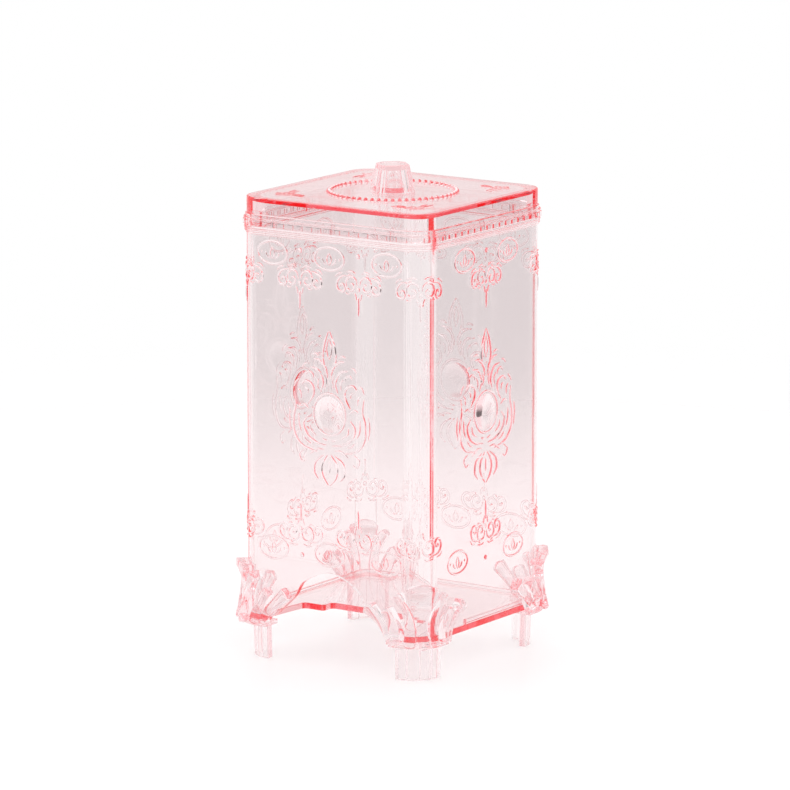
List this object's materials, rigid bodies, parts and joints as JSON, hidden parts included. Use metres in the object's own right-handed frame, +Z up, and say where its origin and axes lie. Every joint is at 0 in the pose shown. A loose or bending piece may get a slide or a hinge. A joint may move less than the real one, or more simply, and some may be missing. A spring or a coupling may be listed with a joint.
{
  "type": "cotton pad dispenser box",
  "caption": "Tall square clear pink dispenser box for round cotton pads, with relief walls, leaf-clasp feet, an arched outlet at the foot of the front wall and a lift-off knobbed lid.",
  "frame": {"origin": "centre of the footprint on the table, at the bottoms of the legs", "axes": "+Z up, the front wall with the arched outlet faces -Y, +X is the right side seen from the front"},
  "size_m": [0.0884, 0.0884, 0.1773],
  "materials": {
    "clear_pink_plastic": "clear pale pink moulded polystyrene, polished"
  },
  "bodies": {
    "box": {"body_shell": "clear_pink_plastic", "base_plate": "clear_pink_plastic", "front_left_foot": "clear_pink_plastic", "front_right_foot": "clear_pink_plastic", "rear_left_foot": "clear_pink_plastic", "rear_right_foot": "clear_pink_plastic"},
    "lid": {"lid_cover": "clear_pink_plastic", "lid_knob": "clear_pink_plastic"}
  },
  "joints": [
    {"name": "lid_lift", "type": "slide", "parent": "box", "child": "lid", "axis": [0, 0, 1], "range_m": [0, 0.06]}
  ]
}
